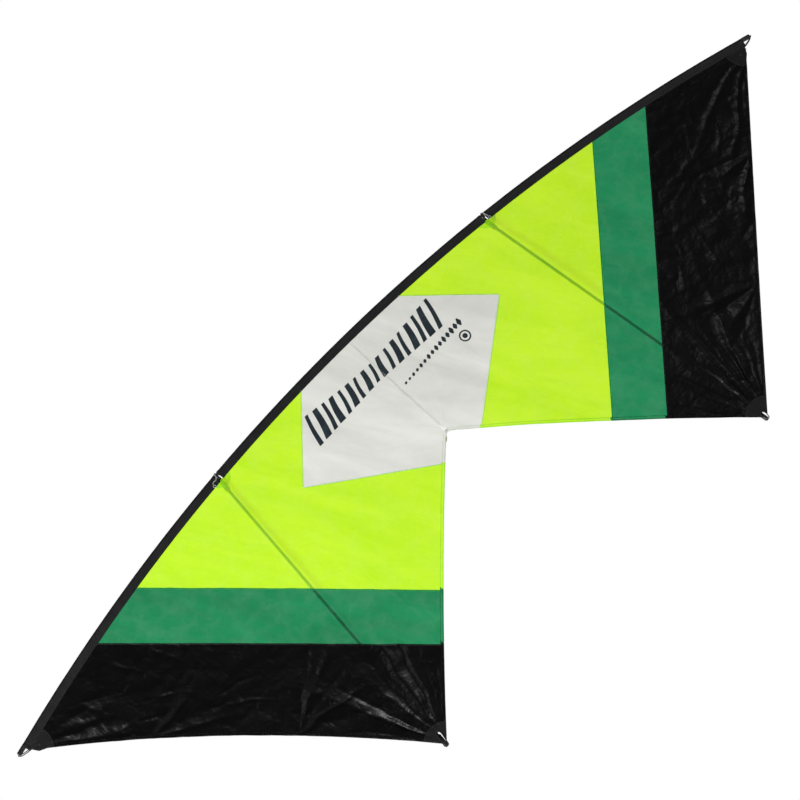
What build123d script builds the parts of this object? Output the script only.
from build123d import *
from math import asin, atan2, cos, degrees, hypot, radians, sin
import os

os.makedirs("parts", exist_ok=True)

# Four-line stunt kite, millimetres, upright as it flies: the sail lies in the XZ plane with the
# leading edge on top, the printed face looks along -Y and the two vertical spars stand behind it.
# The origin is the top of the leading edge on the centre line. "right" is the +X wing.

# ---- Driving dimensions: outline ----
half_span = 1181.0
tip_drop = 158.0
notch_depth = 320.0
bottom_half_width = 522.0
bottom_depth = 814.0
trailing_hollow = 7.0
outer_hollow = {"left": 25.0, "right": 1.0}
notch_radius = 9.0

# ---- Driving dimensions: panel seams, as distances from the centre line ----
white_top_x = 156.0
white_corner_x = 318.5
white_corner_drop = 184.0
white_foot_x = 58.5
lime_seam_top_x = 739.0
lime_seam_foot_x = 274.0
green_seam_top_x = 888.0
green_seam_foot_x = 363.0

# ---- Driving dimensions: cloth ----
cloth = 0.8
hem_width = 8.0
hem_thickness = 1.6
patch_layer = 0.6
tape_width = 6.0
bottom_patch_reach = 52.0
tip_patch_reach = 60.0
line_patch_radius = 26.0

# ---- Driving dimensions: leading edge ----
sleeve_width = 21.0
sleeve_wall = 0.55
sleeve_shoulder_angle = 20.0
sleeve_slit = 10.0
line_point_x = 431.0
edge_spar_radius = 3.8
edge_spar_wall = 0.9
spar_room = 0.4
ferrule_length = 70.0
spar_butt_gap = 0.4

# ---- Driving dimensions: vertical spars and caps ----
vertical_radius = 3.2
vertical_wall = 0.8
vertical_standoff = 12.0
cap_radius = 5.5
cap_wall = 3.0
cap_fit = 0.06
bottom_cap_length = 30.0
tip_cap_length = 20.0
tip_cap_show = 17.0
top_cap_length = 24.0
cap_round = 1.6
eye_radius = 5.0
eye_thickness = 3.5
eye_room = 0.35
corner_slot_width = 13.0
corner_slot_depth = {"left": 28.0, "right": 12.0}
tip_eyelet_drop = 11.0
tip_eyelet_inset = 30.0
tip_eyelet_radius = 1.7

# ---- Driving dimensions: cords ----
tie_cord_radius = 1.25
line_cord_radius = 1.0
ring_cord_radius = 0.85
ring_radius = 3.0
touch = 0.05
bungee_radius = 1.1
knot_radius = 2.8
hitch_radius = 2.3
cord_gap = 0.5
cord_bend = 2.4
tip_bend = 1.4
tip_bungee_setback = 7.0
loop_pinch = 0.6
slot_climb = 0.25

# ---- Worked-out geometry of the outline ----
edge_radius = (half_span**2 + tip_drop**2) / (2 * tip_drop)
spar_inset = edge_spar_radius + spar_room + sleeve_wall
tip_angle = degrees(asin(half_span / edge_radius))
line_angle = degrees(asin(line_point_x / edge_radius))
slit_angle = degrees(sleeve_slit / 2 / edge_radius)
tie_loop_radius = edge_spar_radius + cord_gap + tie_cord_radius
pivot_inset = spar_inset + tie_loop_radius + tie_cord_radius
pivot_radius = edge_radius - pivot_inset
pivot = (pivot_radius * sin(radians(line_angle)), pivot_radius * cos(radians(line_angle)) - edge_radius)
foot = (bottom_half_width, -bottom_depth)
notch = (0.0, -notch_depth)
tip_corner = (half_span - tip_cap_show, -tip_drop - sleeve_width / 2)
vertical_length = hypot(pivot[0] - foot[0], pivot[1] - foot[1])
up = ((pivot[0] - foot[0]) / vertical_length, (pivot[1] - foot[1]) / vertical_length)
outward = (up[1], -up[0])
tip_eyelet = (tip_corner[0] - tip_eyelet_inset, tip_corner[1] - tip_eyelet_drop)
beyond = 60.0
sides = (("left", -1), ("right", 1))


def edge_plane(angle, inset):
    """Plane across the leading edge: angle in degrees from the centre, inset from its top."""
    radial = Vector(sin(radians(angle)), 0, cos(radians(angle)))
    tangent = Vector(cos(radians(angle)), 0, -sin(radians(angle)))
    origin = Vector(0, 0, -edge_radius) + radial * (edge_radius - inset)
    return Plane(origin=origin, x_dir=(0, 1, 0), z_dir=tangent)


def edge_drop(x):
    """Height of the leading edge's top at a distance x from the centre line."""
    return (edge_radius**2 - x**2) ** 0.5 - edge_radius


def hollow_circle(start, end, hollow, sail_side):
    """Centre and radius of the circle through two corners that hollows the edge between them."""
    chord = (end[0] - start[0], end[1] - start[1])
    length = hypot(*chord)
    inward = (-chord[1] / length * sail_side, chord[0] / length * sail_side)
    radius = (length**2 / 4 + hollow**2) / (2 * hollow)
    middle = ((start[0] + end[0]) / 2, (start[1] + end[1]) / 2)
    centre = (middle[0] - inward[0] * (radius - hollow), middle[1] - inward[1] * (radius - hollow))
    return centre, radius


def line_at(first, second, z):
    """Point at height z on the straight line through two points."""
    share = (z - first[1]) / (second[1] - first[1])
    return (first[0] + share * (second[0] - first[0]), z)


def flip(points, sign):
    """The same outline on the left or the right wing."""
    return [(sign * x, z) for x, z in points]


def spar_point(from_end, shift=0.0):
    """Point on the right wing, from_end up the vertical spar's line and shift outward of it."""
    x = foot[0] + up[0] * from_end + outward[0] * shift
    z = foot[1] + up[1] * from_end + outward[1] * shift
    return (x, z)


def spar_plane(sign, from_end):
    """Plane across a vertical spar, looking up its axis."""
    x, z = spar_point(from_end)
    return Plane(origin=(sign * x, vertical_standoff, z), x_dir=(0, 1, 0), z_dir=(sign * up[0], 0, up[1]))


trailing_centre, trailing_radius = hollow_circle(notch, foot, trailing_hollow, 1)
outer_circle = {side: hollow_circle(foot, tip_corner, outer_hollow[side], 1) for side in outer_hollow}
edge_axis = Axis((0, 0, -edge_radius), (0, 1, 0))
panel_edge_radius = edge_radius - sleeve_width


def trailing_drop_at(x):
    """Height of the trailing edge at a distance x from the centre line."""
    return trailing_centre[1] + (trailing_radius**2 - (x - trailing_centre[0]) ** 2) ** 0.5


def sail_area(sign, side, inset):
    """Half of the sail, with its trailing and outer edges moved in by inset."""
    outer_centre, outer_radius = outer_circle[side]
    with BuildSketch() as area:
        Polygon(*flip([(0, 0), (half_span, 0), tip_corner, foot, notch], sign), align=None)
        with Locations((0, -edge_radius)):
            Circle(panel_edge_radius, mode=Mode.INTERSECT)
        with Locations((sign * trailing_centre[0], trailing_centre[1])):
            Circle(trailing_radius + inset, mode=Mode.SUBTRACT)
        with Locations((sign * outer_centre[0], outer_centre[1])):
            Circle(outer_radius + inset, mode=Mode.SUBTRACT)
    return area.sketch


def edge_band(sign, side, centre, radius):
    """The part of the half sail that lies within hem_width of one hollow edge."""
    with BuildSketch() as band:
        add(sail_area(sign, side, 0))
        with Locations((sign * centre[0], centre[1])):
            Circle(radius + hem_width, mode=Mode.INTERSECT)
    return band.sketch


def corner_slot(sign, side):
    """Cut that bares the end of the vertical spar in the bottom corner of the sail."""
    half = corner_slot_width / 2
    depth = corner_slot_depth[side]
    with BuildSketch() as slot:
        Polygon(
            *flip([spar_point(-beyond, -half), spar_point(-beyond, half)], sign),
            *flip([spar_point(depth, half), spar_point(depth, -half)], sign),
            align=None,
        )
        with Locations(flip([spar_point(depth)], sign)[0]):
            Circle(half)
    return slot.sketch


# ---- Seam lines of the right wing, carried past the leading and trailing edges ----
def seam(top_x, foot_x):
    """Two points of a seam, above the leading edge and below the trailing edge."""
    top = (top_x, edge_drop(top_x) - sleeve_width)
    low = (foot_x, trailing_drop_at(foot_x))
    return line_at(top, low, beyond), line_at(top, low, -bottom_depth - beyond)


lime_seam = seam(lime_seam_top_x, lime_seam_foot_x)
green_seam = seam(green_seam_top_x, green_seam_foot_x)
white_top = (white_top_x, edge_drop(white_top_x) - sleeve_width)
white_corner = (white_corner_x, -white_corner_drop)
white_foot = (white_foot_x, trailing_drop_at(white_foot_x))
white_above = line_at(white_corner, white_top, beyond)
white_below = line_at(white_corner, white_foot, white_foot[1] - hem_width)
white_outline = [(0, beyond), white_above, white_corner, white_below, (0, white_below[1])]
far_x = half_span + beyond
far_z = -bottom_depth - beyond
panel_outlines = {
    "lime_panel": [(0, beyond), lime_seam[0], lime_seam[1], (0, far_z)],
    "green_band": [lime_seam[0], green_seam[0], green_seam[1], lime_seam[1]],
    "tip_panel": [green_seam[0], (far_x, beyond), (far_x, far_z), green_seam[1]],
}

# ---- Sail cloth: four panels on each side of the centre seam ----
for side, sign in sides:
    with BuildPart() as centre_panel:
        with BuildSketch(Plane.XZ):
            Polygon(*flip(white_outline, sign), align=None)
            add(sail_area(sign, side, hem_width), mode=Mode.INTERSECT)
        extrude(amount=cloth / 2, both=True)
    centre_panel.part.label = f"centre_panel_{side}"
    export_step(centre_panel.part, f"parts/centre_panel_{side}.step")

    for name, outline in panel_outlines.items():
        with BuildPart() as panel:
            with BuildSketch(Plane.XZ):
                Polygon(*flip(outline, sign), align=None)
                add(sail_area(sign, side, hem_width), mode=Mode.INTERSECT)
                if name == "lime_panel":
                    Polygon(*flip(white_outline, sign), align=None, mode=Mode.SUBTRACT)
                if name == "tip_panel":
                    add(corner_slot(sign, side), mode=Mode.SUBTRACT)
                    with Locations((sign * tip_eyelet[0], tip_eyelet[1])):
                        Circle(tip_eyelet_radius, mode=Mode.SUBTRACT)
            extrude(amount=cloth / 2, both=True)
        panel.part.label = f"{name}_{side}"
        export_step(panel.part, f"parts/{name}_{side}.step")

# ---- Hems folded over the trailing and outer edges, parted along the vertical spar's line ----
inner_side = [spar_point(-beyond), spar_point(beyond), spar_point(beyond, -beyond), spar_point(-beyond, -beyond)]
outer_side = [spar_point(-beyond), spar_point(beyond), spar_point(beyond, beyond), spar_point(-beyond, beyond)]
for side, sign in sides:
    with BuildPart() as trailing_hem:
        with BuildSketch(Plane.XZ):
            add(edge_band(sign, side, trailing_centre, trailing_radius))
            Polygon(*flip(outer_side, sign), align=None, mode=Mode.SUBTRACT)
            add(corner_slot(sign, side), mode=Mode.SUBTRACT)
        extrude(amount=hem_thickness / 2, both=True)
    trailing_hem.part.label = f"trailing_edge_hem_{side}"
    export_step(trailing_hem.part, f"parts/trailing_edge_hem_{side}.step")

    with BuildPart() as outer_hem:
        with BuildSketch(Plane.XZ):
            add(edge_band(sign, side, *outer_circle[side]))
            Polygon(*flip(inner_side, sign), align=None, mode=Mode.SUBTRACT)
            add(corner_slot(sign, side), mode=Mode.SUBTRACT)
        extrude(amount=hem_thickness / 2, both=True)
    outer_hem.part.label = f"outer_edge_hem_{side}"
    export_step(outer_hem.part, f"parts/outer_edge_hem_{side}.step")

# ---- Gusset that rounds the notch, and the tape over the centre seam ----
notch_reach = notch_radius * 2**0.5
with BuildPart() as notch_gusset:
    with BuildSketch(Plane.XZ):
        with Locations((0, -notch_depth - notch_reach / 2)):
            Rectangle(notch_reach, notch_reach)
        for side, sign in sides:
            add(sail_area(sign, side, 0), mode=Mode.SUBTRACT)
        with Locations((0, -notch_depth - notch_reach)):
            Circle(notch_radius, mode=Mode.SUBTRACT)
    extrude(amount=hem_thickness / 2, both=True)
notch_gusset.part.label = "notch_gusset"
export_step(notch_gusset.part, "parts/notch_gusset.step")

tape_top = -sleeve_width - hem_thickness
tape_foot = -notch_depth + hem_width * 2
with BuildPart() as centre_seam_tape:
    with BuildSketch(Plane.XZ.offset(-cloth / 2)):
        with Locations((0, (tape_top + tape_foot) / 2)):
            Rectangle(tape_width, tape_top - tape_foot)
    extrude(amount=-patch_layer)
centre_seam_tape.part.label = "centre_seam_tape"
export_step(centre_seam_tape.part, "parts/centre_seam_tape.step")

# ---- Reinforcing patches on both faces of the sail ----
for side, sign in sides:
    patches = {
        "bottom_corner_patch": (foot, bottom_patch_reach),
        "wing_tip_patch": (tip_corner, tip_patch_reach),
        "line_point_patch": (pivot, line_patch_radius),
    }
    for name, (centre, reach) in patches.items():
        with BuildPart() as patch:
            for face in (-1, 1):
                with BuildSketch(Plane.XZ.offset(face * cloth / 2)):
                    add(sail_area(sign, side, hem_width))
                    with Locations((sign * centre[0], centre[1])):
                        Circle(reach, mode=Mode.INTERSECT)
                    add(corner_slot(sign, side), mode=Mode.SUBTRACT)
                    with Locations((sign * tip_eyelet[0], tip_eyelet[1])):
                        Circle(tip_eyelet_radius, mode=Mode.SUBTRACT)
                extrude(amount=face * patch_layer)
        patch.part.label = f"{name}_{side}"
        export_step(patch.part, f"parts/{name}_{side}.step")

# ---- Leading edge: three sleeves over three jointed spars, open at the two line points ----
tip_cap_angle = degrees(tip_cap_show / edge_radius)
sleeve_spans = {
    "left": (-tip_angle + tip_cap_angle, -line_angle - slit_angle),
    "centre": (-line_angle + slit_angle, line_angle - slit_angle),
    "right": (line_angle + slit_angle, tip_angle - tip_cap_angle),
}
sleeve_radius = edge_spar_radius + spar_room + sleeve_wall
shoulder = sleeve_radius * cos(radians(sleeve_shoulder_angle))
shoulder_drop = -sleeve_radius * sin(radians(sleeve_shoulder_angle))
tail_depth = sleeve_width - spar_inset
tail_half = hem_thickness / 2
for place, (start, end) in sleeve_spans.items():
    with BuildPart() as sleeve:
        with BuildSketch(edge_plane(start, spar_inset)):
            Circle(sleeve_radius)
            Polygon(
                (-shoulder, shoulder_drop),
                (-tail_half, -tail_depth),
                (tail_half, -tail_depth),
                (shoulder, shoulder_drop),
                align=None,
            )
            Circle(edge_spar_radius + spar_room, mode=Mode.SUBTRACT)
        revolve(axis=edge_axis, revolution_arc=end - start)
    sleeve.part.label = f"leading_edge_sleeve_{place}"
    export_step(sleeve.part, f"parts/leading_edge_sleeve_{place}.step")

spar_end_angle = tip_angle - degrees(cap_wall / edge_radius)
joint_angle = spar_end_angle / 3
butt_angle = degrees(spar_butt_gap / 2 / edge_radius)
spar_spans = {
    "left": (-spar_end_angle, -joint_angle - butt_angle),
    "centre": (-joint_angle + butt_angle, joint_angle - butt_angle),
    "right": (joint_angle + butt_angle, spar_end_angle),
}
bore_radius = edge_spar_radius - edge_spar_wall
for place, (start, end) in spar_spans.items():
    with BuildPart() as edge_spar:
        with BuildSketch(edge_plane(start, spar_inset)):
            Circle(edge_spar_radius)
            Circle(bore_radius, mode=Mode.SUBTRACT)
        revolve(axis=edge_axis, revolution_arc=end - start)
    edge_spar.part.label = f"leading_edge_spar_{place}"
    export_step(edge_spar.part, f"parts/leading_edge_spar_{place}.step")

ferrule_angle = degrees(ferrule_length / edge_radius)
for side, sign in sides:
    with BuildPart() as ferrule:
        with BuildSketch(edge_plane(sign * joint_angle - ferrule_angle / 2, spar_inset)):
            Circle(bore_radius - cap_fit)
        revolve(axis=edge_axis, revolution_arc=ferrule_angle)
    ferrule.part.label = f"ferrule_{side}"
    export_step(ferrule.part, f"parts/ferrule_{side}.step")

# ---- Caps on the two ends of the leading edge ----
for side, sign in sides:
    with BuildPart() as tip_cap:
        with BuildSketch(edge_plane(sign * (tip_angle - tip_cap_angle), spar_inset)):
            Circle(cap_radius)
        extrude(amount=sign * tip_cap_length)
        fillet(tip_cap.edges().sort_by(Axis.X)[-1 if sign > 0 else 0], radius=cap_round)
        with BuildSketch(edge_plane(sign * (tip_angle - tip_cap_angle), spar_inset)):
            Circle(edge_spar_radius + cap_fit)
        extrude(amount=sign * (tip_cap_length - cap_wall), mode=Mode.SUBTRACT)
    tip_cap.part.label = f"leading_edge_cap_{side}"
    export_step(tip_cap.part, f"parts/leading_edge_cap_{side}.step")

# ---- Vertical spars, each hung on a cord through the eye of its top cap ----
top_cap_foot = vertical_length - eye_radius * 2 - top_cap_length
vertical_top = top_cap_foot + top_cap_length - cap_wall * 2
for side, sign in sides:
    with BuildPart() as vertical_spar:
        with BuildSketch(spar_plane(sign, cap_wall)):
            Circle(vertical_radius)
            Circle(vertical_radius - vertical_wall, mode=Mode.SUBTRACT)
        extrude(amount=vertical_top - cap_wall)
    vertical_spar.part.label = f"vertical_spar_{side}"
    export_step(vertical_spar.part, f"parts/vertical_spar_{side}.step")

    with BuildPart() as bottom_cap:
        with BuildSketch(spar_plane(sign, 0)):
            Circle(cap_radius)
        extrude(amount=bottom_cap_length)
        fillet(bottom_cap.edges().filter_by(GeomType.CIRCLE), radius=cap_round)
        with BuildSketch(spar_plane(sign, cap_wall)):
            Circle(vertical_radius + cap_fit)
        extrude(amount=bottom_cap_length, mode=Mode.SUBTRACT)
    bottom_cap.part.label = f"vertical_bottom_cap_{side}"
    export_step(bottom_cap.part, f"parts/vertical_bottom_cap_{side}.step")

    with BuildPart() as top_cap:
        with BuildSketch(spar_plane(sign, top_cap_foot)):
            Circle(cap_radius)
        extrude(amount=top_cap_length)
        fillet(top_cap.edges().filter_by(GeomType.CIRCLE), radius=cap_round)
        with BuildSketch(Plane.XZ.offset(-vertical_standoff)):
            Polygon(
                *flip([spar_point(top_cap_foot + top_cap_length - cap_wall, -eye_radius)], sign),
                *flip([spar_point(vertical_length, -eye_radius)], sign),
                *flip([spar_point(vertical_length, eye_radius)], sign),
                *flip([spar_point(top_cap_foot + top_cap_length - cap_wall, eye_radius)], sign),
                align=None,
            )
            with Locations(flip([pivot], sign)[0]):
                Circle(eye_radius)
        extrude(amount=eye_thickness / 2, both=True)
        with BuildSketch(spar_plane(sign, top_cap_foot)):
            Circle(vertical_radius + cap_fit)
        extrude(amount=top_cap_length - cap_wall * 2, mode=Mode.SUBTRACT)
        with BuildSketch(Plane.XZ.offset(-vertical_standoff)):
            with Locations(flip([pivot], sign)[0]):
                Circle(tie_cord_radius + eye_room)
        extrude(amount=eye_thickness, both=True, mode=Mode.SUBTRACT)
    top_cap.part.label = f"vertical_top_cap_{side}"
    export_step(top_cap.part, f"parts/vertical_top_cap_{side}.step")

# ---- Ties: a cord loop round the leading edge spar, run back through the eye and knotted ----
tie_inner_knot = vertical_standoff - eye_thickness / 2 - cord_gap - knot_radius
tie_outer_knot = vertical_standoff + eye_thickness / 2 + cord_gap + knot_radius
for side, sign in sides:
    with BuildPart() as top_tie:
        with BuildSketch(Plane.XZ.offset(-tie_outer_knot)):
            with Locations(flip([pivot], sign)[0]):
                Circle(tie_cord_radius)
        extrude(amount=tie_outer_knot)
        for knot in (tie_inner_knot, tie_outer_knot):
            with Locations((sign * pivot[0], knot, pivot[1])):
                Sphere(knot_radius)
        with Locations((sign * pivot[0], 0, pivot[1])):
            Sphere(hitch_radius)
        with Locations(edge_plane(sign * line_angle, spar_inset)):
            Torus(tie_loop_radius, tie_cord_radius)
    top_tie.part.label = f"vertical_top_tie_{side}"
    export_step(top_tie.part, f"parts/vertical_top_tie_{side}.step")

# ---- Line loops: white cord hitched round the leading edge spar beside each tie ----
loop_angle = line_angle + degrees((hitch_radius + cord_gap + line_cord_radius) / edge_radius)
loop_radius = edge_spar_radius + cord_gap + line_cord_radius
tail_lie = loop_radius + line_cord_radius * 2 + touch
# Each tail as (distance outward along the leading edge, distance in from its top) on the front.
tails = {
    "left": [(0.0, 3.0), (1.0, 8.0), (8.0, 13.5), (15.0, 10.0), (20.0, 14.5)],
    "right": [(0.0, 3.0), (1.5, 8.5), (4.0, 15.0)],
}
for side, sign in sides:
    with BuildPart() as line_loop:
        with Locations(edge_plane(sign * loop_angle, spar_inset)):
            Torus(loop_radius, line_cord_radius)
    line_loop.part.label = f"line_loop_{side}"
    export_step(line_loop.part, f"parts/line_loop_{side}.step")

    route = []
    for along, inset in tails[side]:
        place = edge_plane(sign * (loop_angle + degrees(along / edge_radius)), inset).origin
        route.append((place.X, -tail_lie, place.Z))
    with BuildPart() as line_tail:
        with BuildLine() as cord:
            FilletPolyline(*route, radius=cord_bend)
        with BuildSketch(Plane(origin=cord.line @ 0, z_dir=cord.line % 0)):
            Circle(line_cord_radius)
        sweep(path=cord.line)
    line_tail.part.label = f"line_tail_{side}"
    export_step(line_tail.part, f"parts/line_tail_{side}.step")

    ring_drop = ring_radius + ring_cord_radius + line_cord_radius
    with BuildPart() as line_ring:
        with Locations(Plane(origin=(route[-1][0], -tail_lie, route[-1][2] - ring_drop), z_dir=(0, 1, 0))):
            Torus(ring_radius, ring_cord_radius)
    line_ring.part.label = f"line_ring_{side}"
    export_step(line_ring.part, f"parts/line_ring_{side}.step")

# ---- Bottom bungees: hooked under the vertical spar's cap and over the front of the sail ----
front_of_patch = -(hem_thickness / 2 + cord_gap + bungee_radius)
below_cap = -(cord_gap + bungee_radius)
leg_shift = corner_slot_width / 2
for side, sign in sides:
    arch = corner_slot_depth[side] + leg_shift + bungee_radius * 2
    half_route = [
        (below_cap, leg_shift / 2, vertical_standoff),
        (below_cap, leg_shift * loop_pinch, hem_thickness),
        (corner_slot_depth[side] * slot_climb, leg_shift * loop_pinch, front_of_patch),
        (corner_slot_depth[side], leg_shift, front_of_patch),
        (arch, leg_shift / 2, front_of_patch),
    ]
    loop = half_route + [(rise, -shift, y) for rise, shift, y in reversed(half_route)]
    route = []
    for rise, shift, y in loop:
        x, z = spar_point(rise, shift)
        route.append((sign * x, y, z))
    with BuildPart() as bottom_bungee:
        with BuildLine() as cord:
            FilletPolyline(*route, radius=cord_bend, close=True)
        with BuildSketch(Plane(origin=cord.line @ 0, z_dir=cord.line % 0)):
            Circle(bungee_radius)
        sweep(path=cord.line)
    bottom_bungee.part.label = f"bottom_bungee_{side}"
    export_step(bottom_bungee.part, f"parts/bottom_bungee_{side}.step")

# ---- Tip bungees: through the eyelet in the wing tip patch and over the leading edge cap ----
tip_clear = cap_radius + cord_gap * 2 + bungee_radius
cap_end_angle = tip_angle - tip_cap_angle + degrees((tip_cap_length + cord_gap * 3 + bungee_radius) / edge_radius)
cap_end = edge_plane(cap_end_angle, spar_inset).origin
for side, sign in sides:
    route = []
    for x, y, z in (
        (cap_end.X, -tip_clear * loop_pinch, cap_end.Z),
        (cap_end.X - tip_bungee_setback, -tip_clear, cap_end.Z - cap_radius),
        (tip_eyelet[0], front_of_patch, tip_eyelet[1]),
        (tip_eyelet[0], -front_of_patch, tip_eyelet[1]),
        (cap_end.X - tip_bungee_setback, tip_clear, cap_end.Z - cap_radius),
        (cap_end.X, tip_clear * loop_pinch, cap_end.Z),
    ):
        route.append((sign * x, y, z))
    with BuildPart() as tip_bungee:
        with BuildLine() as cord:
            FilletPolyline(*route, radius=tip_bend, close=True)
        with BuildSketch(Plane(origin=cord.line @ 0, z_dir=cord.line % 0)):
            Circle(bungee_radius)
        sweep(path=cord.line)
    tip_bungee.part.label = f"tip_bungee_{side}"
    export_step(tip_bungee.part, f"parts/tip_bungee_{side}.step")
